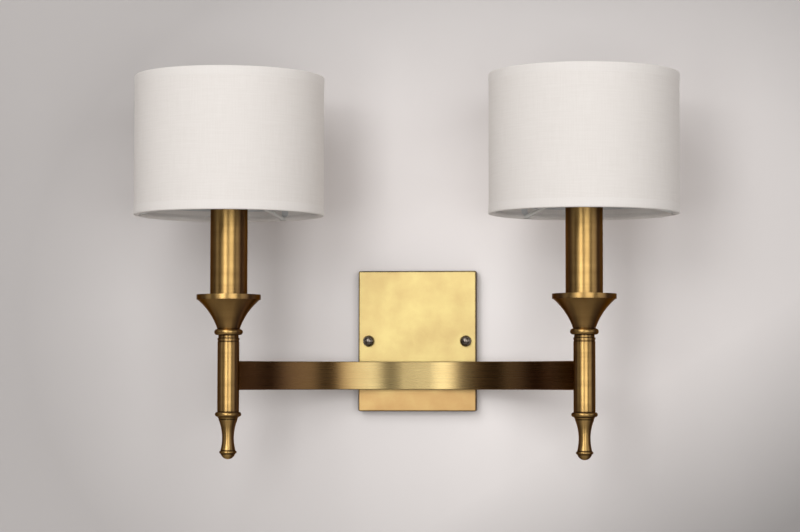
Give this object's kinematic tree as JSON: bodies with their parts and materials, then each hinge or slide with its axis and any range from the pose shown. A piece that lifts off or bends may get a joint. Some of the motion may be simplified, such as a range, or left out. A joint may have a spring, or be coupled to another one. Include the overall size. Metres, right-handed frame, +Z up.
{
  "type": "double arm wall sconce",
  "caption": "Wall sconce with a rectangular backplate, a bowed flat arm, turned columns with trumpet cups and candle tubes, and drum shades on turning spoke carriers.",
  "frame": {"origin": "middle of the backplate on the wall plane, at the centre of the wall bracket's back face", "axes": "+Z up, +X to the right of someone facing the wall, +Y into the wall; the light stands in y < 0"},
  "size_m": [0.477, 0.195, 0.3345],
  "materials": {
    "antique_brass": "satin antique brass, brushed",
    "zinc_steel": "zinc plated",
    "gunmetal": "dark bronze plated",
    "plain_brass": "unlacquered",
    "bulb_cap": "satin",
    "moulded_holder": "moulded phenolic",
    "ring_plastic": "moulded",
    "linen": "off-white linen over white liner",
    "white_wire": "white powder coat",
    "frosted_glass": "frosted",
    "wire_cover": "cloth-covered pair"
  },
  "bodies": {
    "fixture": {"wall_bracket": "zinc_steel", "ground_screw": "plain_brass", "bracket_studs": "zinc_steel", "stud_lock_nuts": "zinc_steel", "backplate": "antique_brass", "cap_nuts": "gunmetal", "arm": "antique_brass", "arm_stem": "zinc_steel", "arm_lock_washer": "zinc_steel", "arm_nut": "zinc_steel", "column_plugs_upper": "plain_brass", "column_plugs_lower": "plain_brass", "lamp_stems": "zinc_steel", "lamp_stem_nuts": "zinc_steel", "finial_studs": "zinc_steel", "socket_screws": "zinc_steel", "column_tube_left": "antique_brass", "upper_collar_left": "antique_brass", "drip_cup_left": "antique_brass", "drip_pan_left": "antique_brass", "lower_collar_left": "antique_brass", "finial_left": "antique_brass", "candle_tube_left": "antique_brass", "socket_strap_left": "zinc_steel", "lampholder_left": "moulded_holder", "screw_shell_left": "plain_brass", "centre_contact_left": "plain_brass", "shade_rest_ring_left": "ring_plastic", "shade_clamp_ring_left": "ring_plastic", "arm_wires_left": "wire_cover", "column_tube_right": "antique_brass", "upper_collar_right": "antique_brass", "drip_cup_right": "antique_brass", "drip_pan_right": "antique_brass", "lower_collar_right": "antique_brass", "finial_right": "antique_brass", "candle_tube_right": "antique_brass", "socket_strap_right": "zinc_steel", "lampholder_right": "moulded_holder", "screw_shell_right": "plain_brass", "centre_contact_right": "plain_brass", "shade_rest_ring_right": "ring_plastic", "shade_clamp_ring_right": "ring_plastic", "arm_wires_right": "wire_cover"},
    "shade_left": {"shade_drum_left": "linen", "shade_top_ring_left": "white_wire", "shade_hub_left": "white_wire", "shade_carrier_left": "white_wire"},
    "bulb_left": {"bulb_glass_left": "frosted_glass", "bulb_base_left": "bulb_cap", "bulb_button_left": "plain_brass"},
    "shade_right": {"shade_drum_right": "linen", "shade_top_ring_right": "white_wire", "shade_hub_right": "white_wire", "shade_carrier_right": "white_wire"},
    "bulb_right": {"bulb_glass_right": "frosted_glass", "bulb_base_right": "bulb_cap", "bulb_button_right": "plain_brass"}
  },
  "joints": [
    {"name": "shade_left_turn", "type": "hinge", "parent": "fixture", "child": "shade_left", "pos_m": [-0.1555, -0.112, 0.125], "axis": [0, 0, 1], "continuous": true},
    {"name": "bulb_left_lift", "type": "slide", "parent": "fixture", "child": "bulb_left", "axis": [0, 0, 1], "range_m": [0, 0.13]},
    {"name": "shade_right_turn", "type": "hinge", "parent": "fixture", "child": "shade_right", "pos_m": [0.1555, -0.112, 0.125], "axis": [0, 0, 1], "continuous": true},
    {"name": "bulb_right_lift", "type": "slide", "parent": "fixture", "child": "bulb_right", "axis": [0, 0, 1], "range_m": [0, 0.13]}
  ]
}
